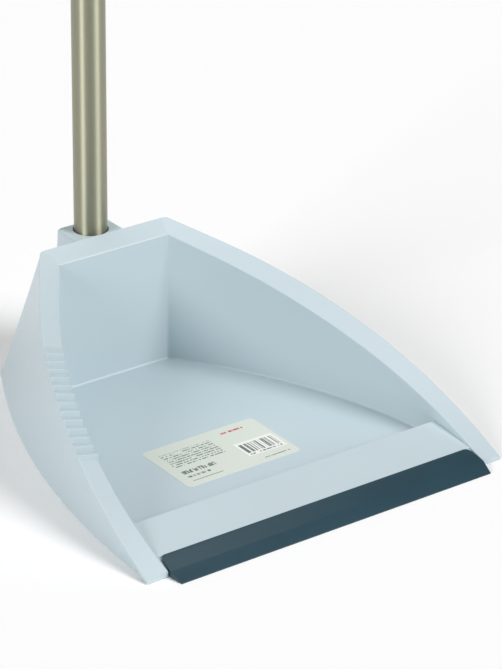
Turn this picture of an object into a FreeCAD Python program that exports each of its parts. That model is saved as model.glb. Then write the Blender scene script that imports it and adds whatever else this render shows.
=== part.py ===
import FreeCAD, Part
import math
import os

os.makedirs("parts", exist_ok=True)

Vector = FreeCAD.Vector
UP = Vector(0, 0, 1)
RIGHT = Vector(1, 0, 0)

# ---------------------------------------------------------------- driving dimensions, mm
# The origin is on the ground under the middle of the pan. +Y points to the rear, +X to the right.

WALL = 2.2                 # moulded wall of the pan
BIG = 300.0                # reach of cutting blocks, past every face

FRONT_Y = -154.3           # front tips of the rim
BACK_Y = 110.0             # inner face of the back wall
RIM_BACK_Y = 124.0         # outer edge of the rim at the back
BASE_BACK_Y = 166.9        # foot of the rear skirt

FLOOR_Z = 3.0              # top of the tray floor
INNER_RIM_Z = 105.6        # inner edge of the rim at the back wall
INNER_RIM_FALL = 0.38      # fall of that edge per mm towards the front
OUTER_RIM_Z = 108.7        # outer edge of the rim, level with the back wall
OUTER_RIM_FALL = 0.33
OUTER_RIM_BOW = 0.000275   # extra fall of the outer edge per mm squared
BACK_RIM_RISE = 0.52       # rise of the rear rim per mm towards the back

# Each side outline is straight at the mouth, a tangent arc, and a straight flare to the rear:
# (half width at the mouth, radius of the arc, flare in degrees, y where the arc meets the mouth)
TRAY_SIDE = (135.7, 407.0, 33.6, -145.0)
RIM_SIDE = (152.9, 437.0, 33.6, FRONT_Y)
BASE_SIDE = (149.5, 652.0, 26.6, FRONT_Y)
RIM_OVERHANG = 0.5         # the rim stands this far proud of the skirt
REAR_CORNER_R = 8.0
INNER_EDGE_R = 1.0         # softened edges of the rim
OUTER_EDGE_R = 0.6
STATION_STEP = 26.0        # spacing of the cross sections of the skirt and rim

TRAY_CORNER_R = 2.5        # upright corners at the back of the tray
TRAY_FOOT_R = 1.5          # where the walls meet the floor

SILL_Y = -103.6            # crest that keeps the dust in
SILL_Z = 15.45
SILL_DRAFT = 1.5
RAMP_END_Y = -140.9        # where the rubber lip starts
RAMP_END_Z = 8.9
LIP_SEAT_Z = 8.0           # top of the plate under the rear edge of the lip
LIP_SLOPE = 0.35
PLATE_FRONT_Y = -151.5
PLATE_THICK = 1.8

TOOTH_PITCH = 7.4          # comb that cleans the brush, along Y
TOOTH_COUNT = 13
TOOTH_BACK_Y = 40.0
TOOTH_HEIGHT = 4.6
TOOTH_FIRST_HEIGHT = 2.2
TOOTH_RAMP_COUNT = 4       # the first teeth grow to full height
TOOTH_CREST_R = 0.5
TOOTH_ROOT = 1.6           # the teeth sink this far into the rim

RIB_THICK = 1.8
RIB_Y = (95.0, 45.0, -5.0, -55.0)
REAR_RIB_X = 70.0

HANDLE_Y = 140.8           # axis of the handle
BLOCK_TOP_Z = 111.0
BLOCK_TOP_HALF = 21.0
BLOCK_FRONT_Y = 119.5
BLOCK_REAR_Y = 156.0
BLOCK_FLARE = 4.0          # growth of the block on each side down to the ground
BLOCK_CORNER_R = 4.0
BLOCK_TOP_R = 2.5
BLOCK_RIB_Z = (4.0, 104.0)  # cross ribs between the block and the socket
SOCKET_R = 12.55
SOCKET_MOUTH_R = 13.4
SOCKET_MOUTH_DEPTH = 5.0
SOCKET_WALL = 2.6
SOCKET_FLOOR_Z = 22.7
SOCKET_FLOOR_THICK = 2.5
DRAIN_R = 3.0

LIP_TOP_Z = 9.4            # rubber lip
LIP_CREASE_Y = -156.5
LIP_CREASE_Z = 5.6
LIP_TIP_Y = -166.9
LIP_TIP_THICK = 0.7
LIP_REAR_HALF = 133.2
LIP_CREASE_HALF = 135.25
LIP_TIP_HALF = 133.65
LIP_CORNER_R = 4.5
LIP_UNDER_THICK = 1.4

LABEL_X = (-56.0, 42.0)
LABEL_Y = (-66.0, -5.0)
LABEL_THICK = 0.15
LABEL_CORNER_R = 4.0

TUBE_R = 12.5
TUBE_WALL = 0.8
TUBE_BORE_R = TUBE_R - TUBE_WALL
LOWER_TUBE_Z = (25.0, 405.0)
PLUG_FIT = 0.03            # slack of a plug in its tube
PLUG_FLANGE_R = 12.3
PLUG_FLANGE_Z = 23.0
PLUG_LENGTH = 18.0
PLUG_WALL = 2.0

JOINER_COLLAR_R = 14.0
JOINER_COLLAR_H = 9.0
JOINER_STUB = 45.0
JOINER_WALL = 2.2
UPPER_TUBE_Z = (LOWER_TUBE_Z[1] + JOINER_COLLAR_H, 752.0)

BUTTON_Z = UPPER_TUBE_Z[0] + 24.0
BUTTON_R = 3.2
BUTTON_HOLE_R = 3.5
BUTTON_PROUD = 2.2
BUTTON_HEAD_R = 4.6
BUTTON_HEAD_T = 1.2
BUTTON_TRAVEL = 2.0
SPRING_THICK = 0.5
SPRING_WIDTH = 7.0

GRIP_Z = (655.0, 778.0)
GRIP_FLANGE_R = 18.0
GRIP_R = 15.2
SLEEVE_Z = (664.0, 768.0)
SLEEVE_R = 17.2
SLEEVE_BULGE = 1.4
SLEEVE_RIDGES = 9
CAP_TOP_Z = 816.0
CAP_PLATE_THICK = 7.0
CAP_HALF = 15.0
EYE_R = 6.0
EYE_Z = 800.0

CLIP_Z = 560.0
CLIP_HEIGHT = 26.0
CLIP_GAP = 0.05            # running fit of the clip on the tube
CLIP_WALL = 3.0
CLIP_EAR = 11.0            # reach of the clamping ears past the collar
CLIP_EAR_T = 4.0
CLIP_SPLIT = 1.6
CLIP_JAW_R = 11.5
CLIP_JAW_WALL = 2.8
CLIP_JAW_REACH = 45.0      # jaw axis ahead of the handle axis
CLIP_JAW_OPEN = 110.0      # opening of the jaw, degrees
CLIP_ARM_WIDE = 10.0
CLIP_EAR_CORNER_R = 3.0
SCREW_R = 1.5
SCREW_HEAD_R = 2.9
SCREW_HEAD_H = 1.8
SCREW_SLOT_DEEP = 0.9
SCREW_SLOT_LONG = 3.4
SCREW_SLOT_WIDE = 0.8
SCREW_RISE = 7.0           # screws above and below the middle of the clip
NUT_AF = 5.5
NUT_H = 2.4


# ---------------------------------------------------------------- helpers

def save(shape, node):
    shape.exportStep("parts/%s.step" % node)


def polygon(points):
    return Part.makePolygon(points + [points[0]])


def prism(points, direction):
    return Part.Face(polygon(points)).extrude(direction)


def side_prism(profile, half_width):
    """A block with the (y, z) profile, from -half_width to +half_width in X."""
    points = [Vector(-half_width, y, z) for y, z in profile]
    return prism(points, RIGHT * (2 * half_width))


def cylinder(radius, z_low, z_high, x=0.0, y=HANDLE_Y):
    return Part.makeCylinder(radius, z_high - z_low, Vector(x, y, z_low), UP)


def ring(outer, inner, z_low, z_high, x=0.0, y=HANDLE_Y):
    return cylinder(outer, z_low, z_high, x, y).cut(cylinder(inner, z_low - 1, z_high + 1, x, y))


def edge_middle(edge):
    return edge.valueAt((edge.FirstParameter + edge.LastParameter) / 2)


def mirrored(shape):
    return shape.mirror(Vector(0, 0, 0), RIGHT)


def rounded_rect(x_low, x_high, y_low, y_high, radius, z):
    """A closed wire with rounded corners, at height z."""
    plate = Part.makeBox(x_high - x_low, y_high - y_low, 1.0, Vector(x_low, y_low, z))
    upright = [e for e in plate.Edges if abs(e.tangentAt(e.FirstParameter).z) > 0.9]
    plate = plate.makeFillet(radius, upright)
    return [f for f in plate.Faces if f.normalAt(0, 0).z < -0.9][0].OuterWire


# ---------------------------------------------------------------- outlines of the pan

def half_width(side, y, inset=0.0):
    """Half width of an outline at y, set in square to the outline by inset."""
    mouth, radius, flare, arc_y = side
    angle = math.radians(flare)
    join_y = arc_y + radius * math.sin(angle)
    if y <= arc_y:
        return mouth - inset
    if y <= join_y:
        inner_radius = radius - inset
        reach = min(y - arc_y, inner_radius * math.sin(angle))
        past_arc = y - arc_y - reach
        return mouth - radius + math.sqrt(inner_radius ** 2 - reach ** 2) - past_arc * math.tan(angle)
    join_x = mouth - radius * (1 - math.cos(angle))
    return join_x - (y - join_y) * math.tan(angle) - inset / math.cos(angle)


def inner_rim_z(y):
    return INNER_RIM_Z - INNER_RIM_FALL * (BACK_Y - y)


def outer_rim_z(y):
    depth = BACK_Y - y
    return OUTER_RIM_Z - OUTER_RIM_FALL * depth - OUTER_RIM_BOW * depth ** 2


def back_rim_z(y):
    return INNER_RIM_Z + BACK_RIM_RISE * (y - BACK_Y)


def stations(y_from, y_to):
    count = int(math.ceil((y_from - y_to) / STATION_STEP))
    return [y_from + (y_to - y_from) * i / count for i in range(count + 1)]


def plan_face(side, back_y, front_y, grow, z):
    """The plan of the tray or rim: flared back, arc, straight mouth. grow moves it outwards."""
    mouth, radius, flare, arc_y = side
    angle = math.radians(flare)
    centre_x = mouth - radius

    def on_arc(turn):
        reach = radius + grow
        return Vector(centre_x + reach * math.cos(turn), arc_y + reach * math.sin(turn), z)

    def left(point):
        return Vector(-point.x, point.y, point.z)

    join = on_arc(angle)
    middle = on_arc(angle / 2)
    mouth_point = on_arc(0)
    back_x = join.x - (back_y + grow - join.y) * math.tan(angle)
    back = Vector(back_x, back_y + grow, z)
    front = Vector(mouth + grow, front_y, z)
    edges = [Part.LineSegment(left(back), back).toShape(),
             Part.LineSegment(back, join).toShape(),
             Part.Arc(join, middle, mouth_point).toShape()]
    if abs(front.y - mouth_point.y) > 0.01:
        edges.append(Part.LineSegment(mouth_point, front).toShape())
    edges.append(Part.LineSegment(front, left(front)).toShape())
    if abs(front.y - mouth_point.y) > 0.01:
        edges.append(Part.LineSegment(left(front), left(mouth_point)).toShape())
    edges.append(Part.Arc(left(mouth_point), left(middle), left(join)).toShape())
    edges.append(Part.LineSegment(left(join), left(back)).toShape())
    return Part.Face(Part.Wire(edges))


def under_rim(drop):
    """Everything below the top surface of the rim, lowered by drop."""
    reach_in, reach_out, low = 25.0, 60.0, -60.0
    sections = []
    for y in stations(BASE_BACK_Y + 10, FRONT_Y - 36):
        x_in, x_out = half_width(TRAY_SIDE, y), half_width(RIM_SIDE, y)
        z_in, z_out = inner_rim_z(y) - drop, outer_rim_z(y) - drop
        slope = (z_out - z_in) / (x_out - x_in)
        sections.append(polygon([Vector(x_in - reach_in, y, low),
                                 Vector(x_out + reach_out, y, low),
                                 Vector(x_out + reach_out, y, z_out + reach_out * slope),
                                 Vector(x_in - reach_in, y, z_in - reach_in * slope)]))
    right = Part.makeLoft(sections, True, False)
    y_near, y_far = BACK_Y - 10, BASE_BACK_Y + 10
    z_near, z_far = back_rim_z(y_near) - drop, back_rim_z(y_far) - drop
    back = side_prism([(y_near, low), (y_far, low), (y_far, z_far), (y_near, z_near)], 100.0)
    middle = plan_face(TRAY_SIDE, BACK_Y, FRONT_Y - 30, 0.0, low).extrude(UP * (SILL_Z + 1.5 - low))
    return back.fuse([right, mirrored(right), middle])


def skirt(inset):
    """The outer body of the pan, set in by inset, with its rounded rear corners."""
    sections = []
    headroom, footroom = 22.0, 6.0
    for y in stations(BASE_BACK_Y + 16, FRONT_Y + inset):
        x_base = half_width(BASE_SIDE, y, inset)
        x_rim = min(half_width(RIM_SIDE, y, inset) - RIM_OVERHANG, x_base)
        z_rim = outer_rim_z(y)
        lean = (x_rim - x_base) / z_rim
        x_top = x_rim + lean * headroom
        x_low = x_base - lean * footroom
        sections.append(polygon([Vector(-x_low, y, -footroom), Vector(x_low, y, -footroom),
                                 Vector(x_top, y, z_rim + headroom), Vector(-x_top, y, z_rim + headroom)]))
    body = Part.makeLoft(sections, True, False)
    rear_lean = (BASE_BACK_Y - RIM_BACK_Y + RIM_OVERHANG) / back_rim_z(RIM_BACK_Y)
    rear_inset = inset * math.sqrt(1 + rear_lean ** 2)
    foot_z = -footroom / 2 if inset else 0.0

    def rear_y(z):
        return BASE_BACK_Y - rear_lean * z - rear_inset

    rear_cut = [(-BIG, foot_z), (rear_y(foot_z), foot_z), (rear_y(BIG), BIG), (-BIG, BIG)]
    body = body.common(side_prism(rear_cut, BIG))
    corners = []
    for edge in body.Edges:
        middle = edge_middle(edge)
        on_rear = abs(middle.y - rear_y(middle.z)) < 0.5
        upright = edge.BoundBox.ZLength > 60
        if on_rear and upright:
            corners.append(edge)
    return body.makeFillet(REAR_CORNER_R, corners)


def tray(grow):
    """The space inside the tray, grown by grow outwards and downwards."""
    plan = plan_face(TRAY_SIDE, BACK_Y, FRONT_Y - 40, grow, -5.0).extrude(UP * BIG)
    seat_front_z = LIP_SEAT_Z - LIP_SLOPE * (RAMP_END_Y - PLATE_FRONT_Y)
    ahead = FRONT_Y - 60
    if grow:
        drop = PLATE_THICK
        profile = [(BACK_Y + 20, FLOOR_Z - grow), (SILL_Y + grow, FLOOR_Z - grow),
                   (SILL_Y + grow * 0.2, SILL_Z - drop), (RAMP_END_Y + grow, LIP_SEAT_Z + 0.9 - drop),
                   (PLATE_FRONT_Y, seat_front_z - drop), (PLATE_FRONT_Y, -BIG), (ahead, -BIG)]
    else:
        profile = [(BACK_Y + 20, FLOOR_Z), (SILL_Y + SILL_DRAFT, FLOOR_Z), (SILL_Y, SILL_Z),
                   (RAMP_END_Y, RAMP_END_Z), (RAMP_END_Y, LIP_SEAT_Z),
                   (PLATE_FRONT_Y, seat_front_z), (PLATE_FRONT_Y, -BIG), (ahead, -BIG)]
    profile += [(ahead, BIG), (BACK_Y + 20, BIG)]
    space = plan.common(side_prism(profile, BIG))
    if grow:
        return space
    foot = []
    for edge in space.Edges:
        level = abs(edge.BoundBox.ZMax - FLOOR_Z) < 0.01 and abs(edge.BoundBox.ZMin - FLOOR_Z) < 0.01
        if level and edge_middle(edge).y > SILL_Y + SILL_DRAFT + 1:
            foot.append(edge)
    return space.makeFillet(TRAY_FOOT_R, foot)


def comb_tooth(index):
    """One saw tooth of the left rim: its top rises to the front, then drops in a steep face."""
    y_foot = TOOTH_BACK_Y - TOOTH_PITCH * index
    y_crest = y_foot - TOOTH_PITCH
    grown = min(1.0, index / float(TOOTH_RAMP_COUNT))
    height = TOOTH_FIRST_HEIGHT + (TOOTH_HEIGHT - TOOTH_FIRST_HEIGHT) * grown

    def section(y, lift):
        x_in, x_out = half_width(TRAY_SIDE, y) - 1.0, half_width(RIM_SIDE, y)
        z_in, z_out = inner_rim_z(y), outer_rim_z(y)
        return polygon([Vector(-x_in, y, z_in - TOOTH_ROOT), Vector(-x_out, y, z_out - TOOTH_ROOT),
                        Vector(-x_out, y, z_out + lift), Vector(-x_in, y, z_in + lift)])

    tooth = Part.makeLoft([section(y_foot, 0.02), section(y_crest, height)], True, True)
    crests = []
    for edge in tooth.Edges:
        box = edge.BoundBox
        level = abs(box.YMin - y_crest) < 0.01 and abs(box.YMax - y_crest) < 0.01
        if level and box.XLength > 5 and box.ZMin > inner_rim_z(y_crest):
            crests.append(edge)
    return tooth.makeFillet(TOOTH_CREST_R, crests)


# ---------------------------------------------------------------- the moulded pan

def socket_block(inset):
    """The block that carries the handle, tapering a little towards its top."""
    top_z = BLOCK_TOP_Z - inset
    wires = []
    for z, grow in ((top_z, 0.0), (-inset, BLOCK_FLARE)):
        half = BLOCK_TOP_HALF + grow - inset
        rear = BLOCK_REAR_Y + grow - inset
        wires.append(rounded_rect(-half, half, BLOCK_FRONT_Y + inset, rear, BLOCK_CORNER_R - inset * 0.5, z))
    block = Part.makeLoft(wires, True, True)
    if inset:
        return block
    rim = [e for e in block.Edges if abs(e.BoundBox.ZMin - top_z) < 0.01]
    return block.makeFillet(BLOCK_TOP_R, rim)


def round_rim_edges(body):
    """Round the pan's rim: first its inner edges, then its outer ones."""
    inner, outer = [], []
    for edge in body.Edges:
        middle = edge_middle(edge)
        x, y, z = abs(middle.x), middle.y, middle.z
        along_side = abs(x - half_width(TRAY_SIDE, y)) < 0.3 and abs(z - inner_rim_z(y)) < 0.6
        along_back = abs(y - BACK_Y) < 0.1 and abs(z - INNER_RIM_Z) < 0.3
        if (along_side or along_back) and edge.Length > 15:
            inner.append(edge)
        if abs(x - half_width(RIM_SIDE, y)) < 0.3 and abs(z - outer_rim_z(y)) < 0.6 and z > 6:
            outer.append(edge)
    body = body.makeFillet(INNER_EDGE_R, inner)
    places = [edge.CenterOfMass for edge in outer]
    outer = [e for e in body.Edges for place in places if e.CenterOfMass.distanceToPoint(place) < 0.01]
    return body.makeFillet(OUTER_EDGE_R, outer)


def corner_filler():
    """Rounds the upright corner between the back wall and the right side wall."""
    turn = math.radians(90.0 + TRAY_SIDE[2])      # angle between the two walls, seen from inside
    corner = Vector(half_width(TRAY_SIDE, BACK_Y), BACK_Y, FLOOR_Z)
    reach = TRAY_CORNER_R / math.tan(turn / 2)
    back = corner + Vector(-reach, 0, 0)
    side_way = Vector(math.sin(math.radians(TRAY_SIDE[2])), -math.cos(math.radians(TRAY_SIDE[2])), 0)
    side = corner + side_way * reach
    centre = back + Vector(0, -TRAY_CORNER_R, 0)
    towards = (corner - centre).normalize()
    middle = centre + towards * TRAY_CORNER_R
    sink = towards * 0.6
    edges = [Part.Arc(back, middle, side).toShape(),
             Part.LineSegment(side, side + sink).toShape(),
             Part.LineSegment(side + sink, corner + sink).toShape(),
             Part.LineSegment(corner + sink, back + sink).toShape(),
             Part.LineSegment(back + sink, back).toShape()]
    return Part.Face(Part.Wire(edges)).extrude(UP * (INNER_RIM_Z - INNER_EDGE_R - 1.5 - FLOOR_Z))


def make_pan():
    """The one moulding: tray, rim, skirt, stiffening ribs, comb and handle socket."""
    low_surface = under_rim(WALL)
    rim_plan = plan_face(RIM_SIDE, RIM_BACK_Y, FRONT_Y, 0.0, 0.0).extrude(UP * 160.0)
    rear_corners = [e for e in rim_plan.Edges
                    if e.BoundBox.ZLength > 100 and abs(e.BoundBox.YMax - RIM_BACK_Y) < 0.1]
    corner_tips = rim_plan.cut(rim_plan.makeFillet(REAR_CORNER_R, rear_corners)).cut(low_surface)
    rim_shelf = rim_plan.cut(low_surface)
    space = tray(0.0)
    body = skirt(0.0).fuse(rim_shelf).common(under_rim(0.0)).cut(space)
    body = round_rim_edges(body).cut(corner_tips)
    left = body.common(Part.makeBox(BIG, 2 * BIG, 2 * BIG, Vector(-BIG, -BIG, -BIG)))
    body = left.fuse(mirrored(left)).removeSplitter()

    hollow = skirt(WALL).common(low_surface).cut(tray(WALL))
    ribs = [Part.makeBox(2 * BIG, RIB_THICK, BIG, Vector(-BIG, y, -BIG / 2)) for y in RIB_Y]
    for x in (-REAR_RIB_X, REAR_RIB_X - RIB_THICK):
        ribs.append(Part.makeBox(RIB_THICK, BIG, BIG, Vector(x, BACK_Y - 5, -BIG / 2)))
    body = body.cut(hollow.cut(ribs))

    teeth = [comb_tooth(index).cut(space) for index in range(TOOTH_COUNT)]
    filler = corner_filler()
    body = body.fuse(teeth + [filler, mirrored(filler)])

    # the socket: a tube in a hollow block, braced by cross ribs
    inside = socket_block(WALL)
    body = body.cut(inside).fuse(socket_block(0.0).cut(inside))
    core = cylinder(SOCKET_R + SOCKET_WALL, SOCKET_FLOOR_Z - SOCKET_FLOOR_THICK, BLOCK_TOP_Z)
    rib_low, rib_high = BLOCK_RIB_Z
    rib_height = rib_high - rib_low
    rib_half = BLOCK_TOP_HALF + BLOCK_FLARE
    long_at = Vector(-RIB_THICK / 2, BLOCK_FRONT_Y, rib_low)
    wide_at = Vector(-rib_half, HANDLE_Y - RIB_THICK / 2, rib_low)
    rib_long = Part.makeBox(RIB_THICK, BLOCK_REAR_Y + BLOCK_FLARE - BLOCK_FRONT_Y, rib_height, long_at)
    rib_wide = Part.makeBox(2 * rib_half, RIB_THICK, rib_height, wide_at)
    room = socket_block(WALL / 4)
    body = body.fuse([core, rib_long.common(room), rib_wide.common(room)])
    body = body.cut(cylinder(SOCKET_R, SOCKET_FLOOR_Z, BLOCK_TOP_Z + 5))
    body = body.cut(cylinder(SOCKET_MOUTH_R, BLOCK_TOP_Z - SOCKET_MOUTH_DEPTH, BLOCK_TOP_Z + 5))
    body = body.cut(cylinder(DRAIN_R, 0.0, SOCKET_FLOOR_Z + 1))
    return body.removeSplitter()


def make_lip():
    """The rubber lip: a strip that grips the front plate and tapers to the ground."""
    seat_front_z = LIP_SEAT_Z - LIP_SLOPE * (RAMP_END_Y - PLATE_FRONT_Y)
    tail_y = PLATE_FRONT_Y + 7.0
    tail_z = seat_front_z - PLATE_THICK + LIP_SLOPE * 7.0
    under = LIP_UNDER_THICK
    section = [(RAMP_END_Y, LIP_TOP_Z), (LIP_CREASE_Y, LIP_CREASE_Z),
               (LIP_TIP_Y, LIP_TIP_THICK), (LIP_TIP_Y, 0.0),
               (PLATE_FRONT_Y - 1.5, LIP_TIP_THICK), (tail_y, tail_z - under), (tail_y, tail_z),
               (PLATE_FRONT_Y, seat_front_z - PLATE_THICK), (PLATE_FRONT_Y, seat_front_z),
               (RAMP_END_Y, LIP_SEAT_Z)]
    strip = side_prism(section, LIP_CREASE_HALF + 5)
    low = -5.0
    corners = [(-LIP_REAR_HALF, RAMP_END_Y), (LIP_REAR_HALF, RAMP_END_Y), (LIP_CREASE_HALF, LIP_CREASE_Y),
               (LIP_TIP_HALF, LIP_TIP_Y), (-LIP_TIP_HALF, LIP_TIP_Y), (-LIP_CREASE_HALF, LIP_CREASE_Y)]
    plan = prism([Vector(x, y, low) for x, y in corners], UP * 30)
    rear = [e for e in plan.Edges if e.BoundBox.ZLength > 20 and e.BoundBox.YMin > RAMP_END_Y - 1]
    plan = plan.makeFillet(LIP_CORNER_R, rear)
    return strip.common(plan)


def make_label():
    wire = rounded_rect(LABEL_X[0], LABEL_X[1], LABEL_Y[0], LABEL_Y[1], LABEL_CORNER_R, FLOOR_Z)
    return Part.Face(wire).extrude(UP * LABEL_THICK)


# ---------------------------------------------------------------- the handle

def make_lower_tube():
    return ring(TUBE_R, TUBE_BORE_R, LOWER_TUBE_Z[0], LOWER_TUBE_Z[1])


def make_foot_plug():
    """Closes the foot of the tube and lands on the floor of the socket."""
    stub_r = TUBE_BORE_R - PLUG_FIT
    top_z = LOWER_TUBE_Z[0] + PLUG_LENGTH
    plug = cylinder(PLUG_FLANGE_R, PLUG_FLANGE_Z, LOWER_TUBE_Z[0])
    plug = plug.fuse(cylinder(stub_r, LOWER_TUBE_Z[0], top_z))
    return plug.cut(cylinder(stub_r - PLUG_WALL, LOWER_TUBE_Z[0], top_z + 1)).removeSplitter()


def make_joiner():
    """The plastic insert between the two tubes, with a chamber for the snap button."""
    stub_r = TUBE_BORE_R - PLUG_FIT
    z_low = LOWER_TUBE_Z[1] - JOINER_STUB
    z_high = UPPER_TUBE_Z[0] + JOINER_STUB
    body = cylinder(stub_r, z_low, z_high)
    collar = cylinder(JOINER_COLLAR_R, LOWER_TUBE_Z[1], UPPER_TUBE_Z[0])
    collar = collar.makeFillet(1.5, [e for e in collar.Edges if e.Closed])
    body = body.fuse(collar)
    body = body.cut(cylinder(stub_r - JOINER_WALL, z_low - 1, z_high + 1))
    guide = Part.makeCylinder(BUTTON_R + 0.3, 30.0, Vector(0, HANDLE_Y, BUTTON_Z), Vector(0, 1, 0))
    return body.cut(guide).removeSplitter()


def make_upper_tube():
    tube = ring(TUBE_R, TUBE_BORE_R, UPPER_TUBE_Z[0], UPPER_TUBE_Z[1])
    hole = Part.makeCylinder(BUTTON_HOLE_R, 30.0, Vector(0, HANDLE_Y, BUTTON_Z), Vector(0, 1, 0))
    return tube.cut(hole)


def make_button():
    """The snap button: a domed pin with a flange that stops it inside the insert."""
    flange_y = HANDLE_Y + math.sqrt((TUBE_BORE_R - PLUG_FIT - JOINER_WALL) ** 2 - BUTTON_HEAD_R ** 2) - 0.3
    tip_y = HANDLE_Y + TUBE_R + BUTTON_PROUD
    flange_low = flange_y - BUTTON_HEAD_T
    along = Vector(0, 1, 0)
    flange = Part.makeCylinder(BUTTON_HEAD_R, BUTTON_HEAD_T, Vector(0, flange_low, BUTTON_Z), along)
    pin = Part.makeCylinder(BUTTON_R, tip_y - flange_low, Vector(0, flange_low, BUTTON_Z), along)
    tip = [e for e in pin.Edges if e.Closed and e.BoundBox.YMin > tip_y - 0.01]
    return flange.fuse(pin.makeFillet(1.2, tip)).removeSplitter()


def make_button_spring():
    """A bent leaf that pushes the button out from the far wall of the insert."""
    inner_r = TUBE_BORE_R - PLUG_FIT - JOINER_WALL
    near_y = HANDLE_Y + math.sqrt(inner_r ** 2 - BUTTON_HEAD_R ** 2) - 0.3 - BUTTON_HEAD_T
    far_y = HANDLE_Y - math.sqrt(inner_r ** 2 - (SPRING_WIDTH / 2) ** 2) + 0.05
    z_top = BUTTON_Z + 5.0
    z_bend = BUTTON_Z - 18.0
    thick = SPRING_THICK
    middle_y = (near_y + far_y) / 2
    z_arm = BUTTON_Z - 5.0
    profile = [(near_y, z_top), (near_y, z_arm), (middle_y, z_bend), (far_y, z_arm), (far_y, z_top),
               (far_y + thick, z_top), (far_y + thick, z_arm), (middle_y, z_bend + 2.2 * thick),
               (near_y - thick, z_arm), (near_y - thick, z_top)]
    return side_prism(profile, SPRING_WIDTH / 2)


def revolved(points):
    """A solid turned about the handle axis from (radius, z) points."""
    wire = polygon([Vector(r, HANDLE_Y, z) for r, z in points])
    return Part.Face(wire).revolve(Vector(0, HANDLE_Y, 0), UP, 360)


def make_grip_core():
    """The plastic grip over the top of the tube, with a flange at each end of the soft sleeve."""
    z_low, z_high = GRIP_Z
    inner = TUBE_R + PLUG_FIT
    points = [(inner, z_low), (GRIP_R + 0.6, z_low), (GRIP_FLANGE_R, z_low + 3), (GRIP_FLANGE_R, SLEEVE_Z[0]),
              (GRIP_R, SLEEVE_Z[0]), (GRIP_R, SLEEVE_Z[1]), (GRIP_FLANGE_R, SLEEVE_Z[1]),
              (GRIP_FLANGE_R, z_high), (inner, z_high)]
    return revolved(points)


def make_grip_sleeve():
    """The soft sleeve: a wavy tube with a finger ridge at each pitch."""
    z_low, z_high = SLEEVE_Z
    pitch = (z_high - z_low) / SLEEVE_RIDGES
    outline = []
    for index in range(2 * SLEEVE_RIDGES + 1):
        radius = SLEEVE_R + SLEEVE_BULGE * (index % 2)
        outline.append(Vector(radius, HANDLE_Y, z_low + pitch * index / 2))
    curve = Part.BSplineCurve()
    curve.interpolate(outline)
    inner = GRIP_R + PLUG_FIT
    low_in, high_in = Vector(inner, HANDLE_Y, z_low), Vector(inner, HANDLE_Y, z_high)
    edges = [Part.LineSegment(low_in, outline[0]).toShape(), curve.toShape(),
             Part.LineSegment(outline[-1], high_in).toShape(), Part.LineSegment(high_in, low_in).toShape()]
    return Part.Face(Part.Wire(edges)).revolve(Vector(0, HANDLE_Y, 0), UP, 360)


def make_end_cap():
    """The cap that plugs the tube and carries the hanging eye."""
    z_low = GRIP_Z[1]
    cap = cylinder(GRIP_FLANGE_R, z_low, z_low + 8.0)
    cap = cap.makeFillet(3.0, [e for e in cap.Edges if e.Closed and e.BoundBox.ZMin > z_low + 7])
    stub_r = TUBE_BORE_R - PLUG_FIT
    stub = cylinder(stub_r, UPPER_TUBE_Z[1] - 22.0, z_low)
    stub = stub.cut(cylinder(stub_r - PLUG_WALL, UPPER_TUBE_Z[1] - 23.0, z_low - 3.0))
    shoulder = cylinder(TUBE_R - PLUG_FIT, UPPER_TUBE_Z[1], z_low)
    shoulder = shoulder.cut(cylinder(stub_r - PLUG_WALL, UPPER_TUBE_Z[1] - 1, z_low - 3.0))
    half = CAP_PLATE_THICK / 2
    along = Vector(0, 1, 0)
    start = Vector(0, HANDLE_Y - half, CAP_TOP_Z - CAP_HALF)
    disc = Part.makeCylinder(CAP_HALF, CAP_PLATE_THICK, start, along)
    web = Part.makeBox(2 * CAP_HALF, CAP_PLATE_THICK, CAP_TOP_Z - CAP_HALF - z_low - 2,
                       Vector(-CAP_HALF, HANDLE_Y - half, z_low + 2))
    tab = disc.fuse(web).removeSplitter()
    tab = tab.cut(Part.makeCylinder(EYE_R, 40.0, Vector(0, HANDLE_Y - 20, EYE_Z), along))
    outer = [e for e in tab.Edges if e.BoundBox.YLength < 0.01 and e.BoundBox.ZMax > z_low + 10]
    tab = tab.makeFillet(1.0, outer)
    return cap.fuse([stub, shoulder, tab]).removeSplitter()


# ---------------------------------------------------------------- the brush clip

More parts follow.
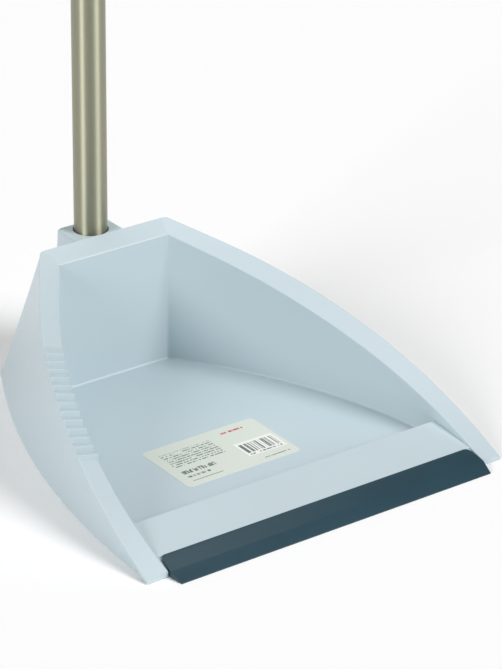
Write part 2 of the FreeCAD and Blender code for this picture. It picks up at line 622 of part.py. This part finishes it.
def make_clip_halves():
    """The clip's collar, split across the middle: the front half carries the jaw for the brush."""
    bore = TUBE_R + CLIP_GAP
    outer = bore + CLIP_WALL
    z_low, z_high = CLIP_Z - CLIP_HEIGHT / 2, CLIP_Z + CLIP_HEIGHT / 2
    collar = cylinder(outer, z_low, z_high)
    ears = Part.makeBox(2 * (outer + CLIP_EAR), 2 * CLIP_EAR_T + CLIP_SPLIT, CLIP_HEIGHT,
                        Vector(-outer - CLIP_EAR, HANDLE_Y - CLIP_EAR_T - CLIP_SPLIT / 2, z_low))
    ears = ears.makeFillet(CLIP_EAR_CORNER_R, [e for e in ears.Edges if e.BoundBox.YLength > 5])
    collar = collar.fuse(ears)

    jaw_y = HANDLE_Y - CLIP_JAW_REACH
    jaw = ring(CLIP_JAW_R + CLIP_JAW_WALL, CLIP_JAW_R, z_low, z_high, 0.0, jaw_y)
    half_open = math.radians(CLIP_JAW_OPEN / 2)
    reach = 40.0
    mouth = prism([Vector(0, jaw_y, z_low - 1),
                   Vector(reach * math.sin(half_open), jaw_y - reach * math.cos(half_open), z_low - 1),
                   Vector(-reach * math.sin(half_open), jaw_y - reach * math.cos(half_open), z_low - 1)],
                  UP * (CLIP_HEIGHT + 2))
    jaw = jaw.cut(mouth)
    arm = Part.makeBox(CLIP_ARM_WIDE, CLIP_JAW_REACH - outer - CLIP_JAW_R + 1.0, CLIP_HEIGHT,
                       Vector(-CLIP_ARM_WIDE / 2, jaw_y + CLIP_JAW_R, z_low))
    clip = collar.fuse([jaw, arm]).cut(cylinder(bore, z_low - 1, z_high + 1))
    clip = clip.cut(cylinder(CLIP_JAW_R, z_low - 1, z_high + 1, 0.0, jaw_y))
    for x in (-1, 1):
        for z in (-1, 1):
            place = Vector(x * (outer + CLIP_EAR / 2), HANDLE_Y - 20, CLIP_Z + z * SCREW_RISE)
            clip = clip.cut(Part.makeCylinder(SCREW_R + 0.1, 40.0, place, Vector(0, 1, 0)))
    split = Part.makeBox(120.0, CLIP_SPLIT, 60.0, Vector(-60.0, HANDLE_Y - CLIP_SPLIT / 2, CLIP_Z - 30.0))
    halves = clip.cut(split).Solids
    front = [s for s in halves if s.CenterOfMass.y < HANDLE_Y]
    rear = [s for s in halves if s.CenterOfMass.y > HANDLE_Y]
    return front[0].removeSplitter(), rear[0].removeSplitter()


def screw_places():
    x_ear = TUBE_R + CLIP_GAP + CLIP_WALL + CLIP_EAR / 2
    return [(x * x_ear, CLIP_Z + z * SCREW_RISE) for x in (-1, 1) for z in (-1, 1)]


def make_clip_screws():
    """Pan-head screws through the clip's ears, heads to the rear."""
    screws = []
    half_stack = CLIP_EAR_T + CLIP_SPLIT / 2
    face_y = HANDLE_Y + half_stack
    ahead = Vector(0, -1, 0)
    slot_y = face_y + SCREW_HEAD_H - SCREW_SLOT_DEEP
    long_half, wide_half = SCREW_SLOT_LONG / 2, SCREW_SLOT_WIDE / 2
    for x, z in screw_places():
        head = Part.makeCylinder(SCREW_HEAD_R, SCREW_HEAD_H, Vector(x, face_y + SCREW_HEAD_H, z), ahead)
        head = head.makeFillet(0.8, [e for e in head.Edges if e.Closed and e.BoundBox.YMin > face_y + 1])
        flat_at = Vector(x - long_half, slot_y, z - wide_half)
        upright_at = Vector(x - wide_half, slot_y, z - long_half)
        cross = [Part.makeBox(SCREW_SLOT_LONG, 1.0, SCREW_SLOT_WIDE, flat_at),
                 Part.makeBox(SCREW_SLOT_WIDE, 1.0, SCREW_SLOT_LONG, upright_at)]
        shank = Part.makeCylinder(SCREW_R, 2 * half_stack + NUT_H + 1.0, Vector(x, face_y, z), ahead)
        screws.append(head.fuse(shank).cut(cross).removeSplitter())
    return Part.makeCompound(screws)


def make_clip_nuts():
    nuts = []
    seat_y = HANDLE_Y - CLIP_EAR_T - CLIP_SPLIT / 2
    corner_r = NUT_AF / math.sqrt(3)
    for x, z in screw_places():
        points = []
        for index in range(6):
            turn = math.radians(60 * index)
            points.append(Vector(x + corner_r * math.cos(turn), seat_y, z + corner_r * math.sin(turn)))
        nut = prism(points, Vector(0, -NUT_H, 0))
        hole = Part.makeCylinder(SCREW_R + PLUG_FIT, 20.0, Vector(x, seat_y - 10, z), Vector(0, 1, 0))
        nuts.append(nut.cut(hole))
    return Part.makeCompound(nuts)


# ---------------------------------------------------------------- build and write

clip_front, clip_rear = make_clip_halves()
NODES = {
    "pan_shell": make_pan(),
    "rubber_lip": make_lip(),
    "product_label": make_label(),
    "lower_tube": make_lower_tube(),
    "foot_plug": make_foot_plug(),
    "tube_joiner": make_joiner(),
    "upper_tube": make_upper_tube(),
    "snap_button": make_button(),
    "button_spring": make_button_spring(),
    "grip_core": make_grip_core(),
    "grip_sleeve": make_grip_sleeve(),
    "end_cap": make_end_cap(),
    "clip_jaw_half": clip_front,
    "clip_rear_half": clip_rear,
    "clip_screws": make_clip_screws(),
    "clip_nuts": make_clip_nuts(),
}

for name, shape in NODES.items():
    facts = (name, shape.isValid(), len(shape.Solids), shape.Volume)
    print("%-16s valid %s  solids %d  volume %.0f mm3" % facts)
    save(shape, name)
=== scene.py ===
import math

import bpy
from bpy.props import FloatProperty, FloatVectorProperty, PointerProperty
from mathutils import Matrix, Vector


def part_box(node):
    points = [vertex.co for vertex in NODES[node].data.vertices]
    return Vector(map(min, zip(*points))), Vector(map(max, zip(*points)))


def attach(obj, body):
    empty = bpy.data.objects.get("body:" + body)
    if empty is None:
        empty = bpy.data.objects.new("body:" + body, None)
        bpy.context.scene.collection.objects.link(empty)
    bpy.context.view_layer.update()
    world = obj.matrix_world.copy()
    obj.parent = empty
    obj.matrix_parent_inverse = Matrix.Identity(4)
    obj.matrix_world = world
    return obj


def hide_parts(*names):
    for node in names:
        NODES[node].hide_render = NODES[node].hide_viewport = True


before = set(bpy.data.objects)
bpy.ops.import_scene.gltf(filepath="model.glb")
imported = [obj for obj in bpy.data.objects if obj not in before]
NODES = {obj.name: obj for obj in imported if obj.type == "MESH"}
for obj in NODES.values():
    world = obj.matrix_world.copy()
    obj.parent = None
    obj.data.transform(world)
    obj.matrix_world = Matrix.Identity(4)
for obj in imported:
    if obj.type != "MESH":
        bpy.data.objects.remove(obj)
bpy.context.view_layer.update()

bl_info = {
    "name": "Long-handled dust pan",
    "version": (1, 0, 0),
    "blender": (4, 5, 0),
    "location": "View3D > Sidebar > Dust pan",
    "description": "Finishes the packed dust pan: plastic, rubber lip, steel tube, label, clip and stage",
    "category": "Add Mesh",
}

MM = 0.001

MERGE_MM = 0.01            # points of a copied mesh closer than this are one
FLAT_ANGLE = math.radians(0.5)     # faces that meet within this are one flat face
SMOOTH_ANGLE = math.radians(40.0)  # edges sharper than this keep a hard shade
ROW_SHIFT = 7.31           # sets each row of strokes apart from the next

FLOOR_SIZE = 14.0          # metres
SENSOR_MM = 36.0
VIEW_REACH = 50.0          # metres that the camera sees

# Each light: the place it shines from, in metres, and how many degrees wide it looks from the pan.
KEY_FROM, KEY_WIDTH = (2.6, -4.6, 4.0), 28.0
FILL_FROM, FILL_WIDTH = (-6.0, -1.2, 2.8), 26.0
TOP_FROM, TOP_WIDTH = (0.3, 2.5, 5.0), 50.0


# ---------------------------------------------------------------- colours and nodes

def linear(hex_colour):
    """An sRGB hex colour as linear light."""
    channels = [int(hex_colour[i:i + 2], 16) / 255 for i in (0, 2, 4)]
    return [c / 12.92 if c <= 0.04045 else ((c + 0.055) / 1.055) ** 2.4 for c in channels] + [1.0]


def shaded(colour, factor):
    """A colour made darker or lighter by a factor."""
    return [min(1.0, c * factor) for c in list(colour)[:3]] + [1.0]


def start_material(name):
    """A new material with its node tree and Principled shader."""
    material = bpy.data.materials.new(name)
    material.use_nodes = True
    return material, material.node_tree, material.node_tree.nodes["Principled BSDF"]


def add(tree, kind, inputs=None, **settings):
    """Adds a node with its settings. An input given a socket is linked to it, any other is set."""
    node = tree.nodes.new(kind)
    for key, value in settings.items():
        setattr(node, key, value)
    for key, value in (inputs or {}).items():
        if isinstance(value, bpy.types.NodeSocket):
            tree.links.new(value, node.inputs[key])
        else:
            node.inputs[key].default_value = value
    return node


def grain(tree, size_mm, detail=2.0, stretch=(1.0, 1.0, 1.0)):
    """A cloudy pattern on the piece, its features about size_mm across."""
    place = add(tree, "ShaderNodeTexCoord")
    mapped = add(tree, "ShaderNodeMapping", {"Vector": place.outputs["Object"], "Scale": stretch})
    noise = add(tree, "ShaderNodeTexNoise", {"Vector": mapped.outputs["Vector"], "Detail": detail,
                                             "Scale": 1.0 / (size_mm * MM)})
    return noise.outputs["Fac"]


def finish(tree, shader, tint, low, high, gloss, rough_low, rough_high, relief=None, depth_mm=0.0):
    """Colour between low and high over the tint pattern, roughness over the gloss pattern, and relief."""
    tone = add(tree, "ShaderNodeMix", {"Factor": tint, "A": low, "B": high}, data_type="RGBA")
    tree.links.new(tone.outputs["Result"], shader.inputs["Base Color"])
    rough = add(tree, "ShaderNodeMapRange", {"Value": gloss, "To Min": rough_low, "To Max": rough_high})
    tree.links.new(rough.outputs["Result"], shader.inputs["Roughness"])
    if relief is not None:
        bump = add(tree, "ShaderNodeBump", {"Height": relief, "Distance": depth_mm * MM, "Strength": 1.0})
        tree.links.new(bump.outputs["Normal"], shader.inputs["Normal"])


# ---------------------------------------------------------------- materials

def polypropylene(colour):
    """Injection-moulded polypropylene. The polished mould leaves a waxy satin gloss, with a faint ripple a
    few millimetres wide."""
    material, tree, shader = start_material("Moulded polypropylene, ice blue")
    finish(tree, shader, grain(tree, 90.0), shaded(colour, 0.975), shaded(colour, 1.02),
           grain(tree, 6.0), 0.29, 0.39, grain(tree, 5.0), 0.01)
    shader.inputs["IOR"].default_value = 1.49
    return material


def thermoplastic_rubber(colour):
    """Moulded thermoplastic rubber. Soft and dark, with a fine mould grain that dulls its shine."""
    material, tree, shader = start_material("Thermoplastic rubber, dark teal")
    finish(tree, shader, grain(tree, 40.0, 3.0), shaded(colour, 0.85), shaded(colour, 1.15),
           grain(tree, 2.0, 3.0), 0.30, 0.50, grain(tree, 0.9), 0.02)
    shader.inputs["IOR"].default_value = 1.5
    return material


def ground_steel(colour):
    """Centreless-ground steel tube. Fine rings left by the grinding spread its highlights along the tube."""
    material, tree, shader = start_material("Centreless-ground steel")
    rings = grain(tree, 3.0, 4.0, (0.02, 0.02, 6.0))
    finish(tree, shader, rings, shaded(colour, 0.95), shaded(colour, 1.04), rings, 0.38, 0.46, rings, 0.002)
    around = add(tree, "ShaderNodeTangent", direction_type="RADIAL", axis="Z")
    tree.links.new(around.outputs["Tangent"], shader.inputs["Tangent"])
    shader.inputs["Metallic"].default_value = 1.0
    shader.inputs["Anisotropic"].default_value = 0.9
    shader.inputs["Anisotropic Rotation"].default_value = 0.25
    return material


def zinc_plate(colour):
    """Zinc-plated steel. Small soft crystals and a bluish shine."""
    material, tree, shader = start_material("Zinc-plated steel")
    finish(tree, shader, grain(tree, 0.7), shaded(colour, 0.85), shaded(colour, 1.1),
           grain(tree, 1.2, 3.0), 0.26, 0.4)
    shader.inputs["Metallic"].default_value = 1.0
    return material


def textured_plastic(name, colour, roughness):
    """Plastic from a spark-eroded mould: a fine even grain that scatters the light."""
    material, tree, shader = start_material(name)
    finish(tree, shader, grain(tree, 12.0, 3.0), shaded(colour, 0.92), shaded(colour, 1.08),
           grain(tree, 1.0, 3.0), roughness - 0.05, roughness + 0.05, grain(tree, 0.6), 0.02)
    shader.inputs["IOR"].default_value = 1.49
    return material


def inside(tree, distance, low, high):
    """1 where a distance in mm lies between low and high, 0 elsewhere."""
    above = add(tree, "ShaderNodeMath", {0: distance, 1: low}, operation="GREATER_THAN")
    below = add(tree, "ShaderNodeMath", {0: distance, 1: high}, operation="LESS_THAN")
    both = add(tree, "ShaderNodeMath", {0: above.outputs["Value"], 1: below.outputs["Value"]},
               operation="MULTIPLY")
    return both.outputs["Value"]


def speckle(tree, along, across, seed, fill):
    """1 on patches of a cloudy pattern read at two distances; fill nearer 1 gives more patches."""
    spot = add(tree, "ShaderNodeCombineXYZ", {"X": along, "Y": across, "Z": seed})
    noise = add(tree, "ShaderNodeTexNoise", {"Vector": spot.outputs["Vector"], "Scale": 1.0, "Detail": 1.0})
    patches = add(tree, "ShaderNodeMath", {0: noise.outputs["Fac"], 1: fill}, operation="LESS_THAN")
    return patches.outputs["Value"]


def strokes(tree, right, up, pitch, thick, letter, fill, seed):
    """Rows of short strokes, a plain stand-in for print. Rows are pitch mm apart and thick of that high, and
    their strokes are about letter mm long."""
    rows = add(tree, "ShaderNodeMath", {0: up, 1: pitch}, operation="DIVIDE").outputs["Value"]
    row = add(tree, "ShaderNodeMath", {0: rows}, operation="FLOOR").outputs["Value"]
    height = add(tree, "ShaderNodeMath", {0: rows}, operation="FRACT").outputs["Value"]
    across = add(tree, "ShaderNodeMath", {0: height, 1: thick}, operation="LESS_THAN").outputs["Value"]
    letters = add(tree, "ShaderNodeMath", {0: right, 1: letter}, operation="DIVIDE").outputs["Value"]
    shift = add(tree, "ShaderNodeMath", {0: row, 1: ROW_SHIFT}, operation="MULTIPLY").outputs["Value"]
    inked = speckle(tree, letters, shift, seed, fill)
    return add(tree, "ShaderNodeMath", {0: across, 1: inked}, operation="MULTIPLY").outputs["Value"]


def bars(tree, right, pitch, seed):
    """Upright bars of uneven width, about pitch mm apart."""
    along = add(tree, "ShaderNodeMath", {0: right, 1: pitch}, operation="DIVIDE").outputs["Value"]
    return speckle(tree, along, seed, seed, 0.5)


def label_paper(paper, ink, patch, dash, box):
    """Coated label paper, printed with rows of grey strokes, bars on a white patch and a red dash. Places are
    in mm from the rear left corner of the label, up towards the rear."""
    material, tree, shader = start_material("Coated label paper, printed")
    low, high = box
    place = add(tree, "ShaderNodeTexCoord")
    mapped = add(tree, "ShaderNodeMapping", {"Vector": place.outputs["Object"],
                                             "Location": (-low.x / MM, -high.y / MM, 0.0),
                                             "Scale": (1 / MM, 1 / MM, 1 / MM)})
    axes = add(tree, "ShaderNodeSeparateXYZ", {"Vector": mapped.outputs["Vector"]})
    right, up = axes.outputs["X"], axes.outputs["Y"]
    # Each layer of print: left, right, front and rear of its rectangle, its colour, and its pattern or None
    layers = (
        (62.0, 95.0, -48.0, -27.0, patch, None),
        (8.0, 52.0, -33.5, -11.0, ink, strokes(tree, right, up, 2.9, 0.42, 1.1, 0.53, 1.7)),
        (8.0, 36.0, -43.5, -38.8, ink, strokes(tree, right, up, 20.0, 1.0, 1.9, 0.54, 4.2)),
        (8.0, 28.0, -49.2, -46.8, ink, strokes(tree, right, up, 20.0, 1.0, 1.2, 0.52, 8.8)),
        (8.0, 34.0, -54.6, -53.9, ink, None),
        (64.0, 92.5, -43.5, -30.0, ink, bars(tree, right, 0.9, 3.3)),
        (64.0, 92.5, -46.6, -45.0, ink, strokes(tree, right, up, 40.0, 1.0, 1.3, 0.5, 5.5)),
        (70.0, 92.0, -55.8, -54.8, ink, strokes(tree, right, up, 40.0, 1.0, 1.3, 0.56, 2.5)),
        (64.0, 84.0, -9.6, -7.2, dash, strokes(tree, right, up, 40.0, 1.0, 1.6, 0.56, 6.1)),
    )
    base = add(tree, "ShaderNodeMix", {"Factor": grain(tree, 1.5, 4.0), "A": shaded(paper, 0.97),
                                       "B": shaded(paper, 1.03)}, data_type="RGBA")
    colour = base.outputs["Result"]
    for x_low, x_high, y_low, y_high, paint, pattern in layers:
        across, along = inside(tree, right, x_low, x_high), inside(tree, up, y_low, y_high)
        mask = add(tree, "ShaderNodeMath", {0: across, 1: along}, operation="MULTIPLY").outputs["Value"]
        if pattern is not None:
            mask = add(tree, "ShaderNodeMath", {0: mask, 1: pattern}, operation="MULTIPLY").outputs["Value"]
        layer = add(tree, "ShaderNodeMix", {"Factor": mask, "A": colour, "B": paint}, data_type="RGBA")
        colour = layer.outputs["Result"]
    tree.links.new(colour, shader.inputs["Base Color"])
    shader.inputs["Roughness"].default_value = 0.42
    return material


def give(material, *names):
    """Puts one finish on CAD nodes, through their material slots."""
    for name in names:
        NODES[name].data.materials.clear()
        NODES[name].data.materials.append(material)


# ---------------------------------------------------------------- mesh helpers

def copy_of(node, name):
    """A new object with a merged copy of a CAD node's mesh, its flat areas joined up again."""
    mesh = NODES[node].data.copy()
    mesh.name = name
    piece = bpy.data.objects.new(name, mesh)
    bpy.context.scene.collection.objects.link(piece)
    bpy.ops.object.select_all(action="DESELECT")
    piece.select_set(True)
    bpy.context.view_layer.objects.active = piece
    bpy.ops.object.mode_set(mode="EDIT")
    bpy.ops.mesh.select_all(action="SELECT")
    bpy.ops.mesh.remove_doubles(threshold=MERGE_MM * MM)
    bpy.ops.mesh.dissolve_limited(angle_limit=FLAT_ANGLE)
    bpy.ops.object.mode_set(mode="OBJECT")
    return piece


def soften(piece, radius, sharp, segments):
    """Rounds the edges of a piece that turn by more than sharp, and smooths its shading."""
    bpy.ops.object.select_all(action="DESELECT")
    piece.select_set(True)
    bpy.context.view_layer.objects.active = piece
    bevel = piece.modifiers.new("edges", "BEVEL")
    bevel.width = radius
    bevel.segments = segments
    bevel.limit_method = "ANGLE"
    bevel.angle_limit = sharp
    bpy.ops.object.modifier_apply(modifier=bevel.name)
    bpy.ops.object.shade_smooth_by_angle(angle=SMOOTH_ANGLE)


# ---------------------------------------------------------------- properties

class DustpanColours(bpy.types.PropertyGroup):
    pan: FloatVectorProperty(
        name="Pan", description="Moulded polypropylene of the pan, grip and end cap", subtype="COLOR", size=4,
        min=0.0, max=1.0, default=linear("C4D3D9"))
    rubber: FloatVectorProperty(
        name="Rubber", description="Rubber of the lip and grip sleeve", subtype="COLOR", size=4,
        min=0.0, max=1.0, default=linear("24424E"))
    steel: FloatVectorProperty(
        name="Steel", description="Ground steel of the handle", subtype="COLOR", size=4,
        min=0.0, max=1.0, default=linear("B3B29C"))
    trim: FloatVectorProperty(
        name="Trim", description="Textured plastic of the clip and tube joiner", subtype="COLOR", size=4,
        min=0.0, max=1.0, default=linear("2B434D"))
    paper: FloatVectorProperty(
        name="Paper", description="Label paper", subtype="COLOR", size=4,
        min=0.0, max=1.0, default=linear("DCE2D8"))
    ink: FloatVectorProperty(
        name="Ink", description="Grey print of the label", subtype="COLOR", size=4,
        min=0.0, max=1.0, default=linear("6E7472"))
    patch: FloatVectorProperty(
        name="Patch", description="White patch under the bars of the label", subtype="COLOR", size=4,
        min=0.0, max=1.0, default=linear("F2F3EE"))
    dash: FloatVectorProperty(
        name="Dash", description="Red dash of the label", subtype="COLOR", size=4,
        min=0.0, max=1.0, default=linear("CC5A55"))
    plug: FloatVectorProperty(
        name="Plug", description="Black polyamide of the plug in the lower tube", subtype="COLOR", size=4,
        min=0.0, max=1.0, default=linear("1A1C1E"))
    zinc: FloatVectorProperty(
        name="Zinc", description="Zinc plate of the button, spring, screws and nuts", subtype="COLOR", size=4,
        min=0.0, max=1.0, default=linear("AEB2B6"))
    floor: FloatVectorProperty(
        name="Floor", description="Plain floor under the pan", subtype="COLOR", size=4,
        min=0.0, max=1.0, default=linear("FFFFFF"))


class DustpanSizes(bpy.types.PropertyGroup):
    lip_edge: FloatProperty(
        name="Lip edge", description="Radius of the rubber lip's edges", default=0.4 * MM, unit="LENGTH")
    lip_sharp: FloatProperty(
        name="Lip crease", description="Edges of the lip that turn by more than this are rounded",
        default=math.radians(8.0), subtype="ANGLE")


class DustpanStage(bpy.types.PropertyGroup):
    azimuth: FloatProperty(
        name="Azimuth", description="Turn of the camera about the pan; negative stands to its left",
        default=math.radians(-36.52), subtype="ANGLE")
    elevation: FloatProperty(
        name="Elevation", description="Height of the camera above the horizon", default=math.radians(26.05),
        subtype="ANGLE")
    roll: FloatProperty(
        name="Roll", description="Lean of the camera about its view", default=math.radians(0.71),
        subtype="ANGLE")
    distance: FloatProperty(
        name="Distance", description="Camera to the aim point, along the view", default=2.312, unit="LENGTH")
    aim: FloatVectorProperty(
        name="Aim point", description="Point the view is measured from", default=(0.0, 0.010, 0.003),
        subtype="XYZ", unit="LENGTH")
    offset: FloatVectorProperty(
        name="Offset", description="Aim point seen from the camera, right and up", size=2,
        default=(-0.04255, -0.06576), unit="LENGTH")
    lens: FloatProperty(
        name="Lens", description="Focal length on a 36 mm sensor", default=171.5, unit="CAMERA")
    key: FloatProperty(name="Key light", description="Strength of the light at the front right", default=2.3)
    fill: FloatProperty(name="Fill light", description="Strength of the light at the left", default=1.6)
    top: FloatProperty(name="Top light", description="Strength of the overhead light", default=0.8)
    sky: FloatProperty(name="Surround", description="Brightness of the white surround", default=0.1)


# ---------------------------------------------------------------- operators

class DUSTPAN_OT_stage(bpy.types.Operator):
    """Make the camera, the plain floor and the soft studio light"""
    bl_idname = "dustpan.stage"
    bl_label = "Stage"

    def execute(self, context):
        stage = context.scene.dustpan_stage
        colours = context.scene.dustpan_colours
        place_camera(context, stage)
        lay_floor(colours.floor)
        hang_light("key_light", KEY_FROM, KEY_WIDTH, stage.key)
        hang_light("fill_light", FILL_FROM, FILL_WIDTH, stage.fill)
        hang_light("top_light", TOP_FROM, TOP_WIDTH, stage.top)
        world = context.scene.world or bpy.data.worlds.new("surround")
        context.scene.world = world
        world.use_nodes = True
        background = world.node_tree.nodes["Background"]
        background.inputs["Color"].default_value = linear("FFFFFF")
        background.inputs["Strength"].default_value = stage.sky
        context.scene.view_settings.view_transform = "Standard"
        return {"FINISHED"}


def place_camera(context, stage):
    """Adds the camera at the stage's angles, with the aim point at its offset in the view."""
    data = bpy.data.cameras.new("camera")
    camera = bpy.data.objects.new("camera", data)
    context.scene.collection.objects.link(camera)
    turn, drop = -stage.azimuth, stage.elevation
    forward = Vector((math.sin(turn) * math.cos(drop), math.cos(turn) * math.cos(drop), -math.sin(drop)))
    right = Vector((math.cos(turn), -math.sin(turn), 0))
    up = right.cross(forward)
    roll_right = right * math.cos(stage.roll) + up * math.sin(stage.roll)
    roll_up = up * math.cos(stage.roll) - right * math.sin(stage.roll)
    in_view = roll_right * stage.offset[0] + roll_up * stage.offset[1]
    spot = Vector(stage.aim) - forward * stage.distance - in_view
    rotation = Matrix((roll_right, roll_up, -forward)).transposed().to_4x4()
    camera.matrix_world = Matrix.Translation(spot) @ rotation
    data.lens = stage.lens
    data.sensor_width = SENSOR_MM
    data.clip_end = VIEW_REACH
    context.scene.camera = camera


def lay_floor(colour):
    """Lays the plain matt floor at ground level."""
    bpy.ops.object.select_all(action="DESELECT")
    bpy.ops.mesh.primitive_plane_add(size=FLOOR_SIZE, location=(0, 0, 0))
    floor = bpy.context.active_object
    floor.name = "floor"
    material, tree, shader = start_material("Pale studio floor")
    shader.inputs["Base Color"].default_value = colour
    shader.inputs["Roughness"].default_value = 0.9
    shader.inputs["Specular IOR Level"].default_value = 0.1
    floor.data.materials.append(material)


def hang_light(name, place, width, strength):
    """A wide, distant soft light that shines evenly from its place; width is in degrees."""
    data = bpy.data.lights.new(name, "SUN")
    data.angle = math.radians(width)
    data.energy = strength
    light = bpy.data.objects.new(name, data)
    bpy.context.scene.collection.objects.link(light)
    light.location = place
    light.rotation_euler = Vector(place).to_track_quat("Z", "Y").to_euler()


class DUSTPAN_OT_pan(bpy.types.Operator):
    """Finish the moulded pan, and the grip and end cap of the same plastic"""
    bl_idname = "dustpan.pan"
    bl_label = "Pan"

    def execute(self, context):
        give(polypropylene(context.scene.dustpan_colours.pan), "pan_shell", "grip_core", "end_cap")
        return {"FINISHED"}


class DUSTPAN_OT_lip(bpy.types.Operator):
    """Make the rubber lip with softened edges, and finish the grip sleeve"""
    bl_idname = "dustpan.lip"
    bl_label = "Rubber lip"

    def execute(self, context):
        rubber = thermoplastic_rubber(context.scene.dustpan_colours.rubber)
        sizes = context.scene.dustpan_sizes
        lip = copy_of("rubber_lip", "lip_strip")
        soften(lip, sizes.lip_edge, sizes.lip_sharp, 3)
        lip.data.materials.clear()
        lip.data.materials.append(rubber)
        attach(lip, "pan")
        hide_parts("rubber_lip")
        give(rubber, "grip_sleeve")
        return {"FINISHED"}


class DUSTPAN_OT_label(bpy.types.Operator):
    """Finish the label on the tray floor"""
    bl_idname = "dustpan.label"
    bl_label = "Label"

    def execute(self, context):
        colours = context.scene.dustpan_colours
        printed = label_paper(colours.paper, colours.ink, colours.patch, colours.dash,
                              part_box("product_label"))
        give(printed, "product_label")
        return {"FINISHED"}


class DUSTPAN_OT_handle(bpy.types.Operator):
    """Finish the steel tubes, their plug, and the zinc-plated button, spring, screws and nuts"""
    bl_idname = "dustpan.handle"
    bl_label = "Handle"

    def execute(self, context):
        colours = context.scene.dustpan_colours
        give(ground_steel(colours.steel), "lower_tube", "upper_tube")
        give(textured_plastic("Moulded polyamide, black", colours.plug, 0.5), "foot_plug")
        give(zinc_plate(colours.zinc), "snap_button", "button_spring", "clip_screws", "clip_nuts")
        return {"FINISHED"}


class DUSTPAN_OT_brush_clip(bpy.types.Operator):
    """Finish the clip that holds the brush, and the tube joiner"""
    bl_idname = "dustpan.brush_clip"
    bl_label = "Brush clip"

    def execute(self, context):
        give(textured_plastic("Moulded polypropylene, dark teal", context.scene.dustpan_colours.trim, 0.45),
             "clip_jaw_half", "clip_rear_half", "tube_joiner")
        return {"FINISHED"}


class DUSTPAN_PT_panel(bpy.types.Panel):
    """Lists the pieces of the dust pan"""
    bl_idname = "DUSTPAN_PT_panel"
    bl_label = "Dust pan"
    bl_space_type = "VIEW_3D"
    bl_region_type = "UI"
    bl_category = "Dust pan"

    def draw(self, context):
        layout = self.layout
        scene = context.scene
        for group in (scene.dustpan_colours, scene.dustpan_sizes, scene.dustpan_stage):
            for name in group.__annotations__:
                layout.prop(group, name)
        for operator in PIECES:
            layout.operator(operator.bl_idname)


PIECES = (DUSTPAN_OT_stage, DUSTPAN_OT_pan, DUSTPAN_OT_lip, DUSTPAN_OT_label, DUSTPAN_OT_handle,
          DUSTPAN_OT_brush_clip)
CLASSES = (DustpanColours, DustpanSizes, DustpanStage) + PIECES + (DUSTPAN_PT_panel,)


def register():
    for cls in CLASSES:
        bpy.utils.register_class(cls)
    bpy.types.Scene.dustpan_colours = PointerProperty(type=DustpanColours)
    bpy.types.Scene.dustpan_sizes = PointerProperty(type=DustpanSizes)
    bpy.types.Scene.dustpan_stage = PointerProperty(type=DustpanStage)


def unregister():
    del bpy.types.Scene.dustpan_stage
    del bpy.types.Scene.dustpan_sizes
    del bpy.types.Scene.dustpan_colours
    for cls in reversed(CLASSES):
        bpy.utils.unregister_class(cls)


def main():
    register()
    bpy.ops.dustpan.stage()
    bpy.ops.dustpan.pan()
    bpy.ops.dustpan.lip()
    bpy.ops.dustpan.label()
    bpy.ops.dustpan.handle()
    bpy.ops.dustpan.brush_clip()


if __name__ == "__main__":
    main()
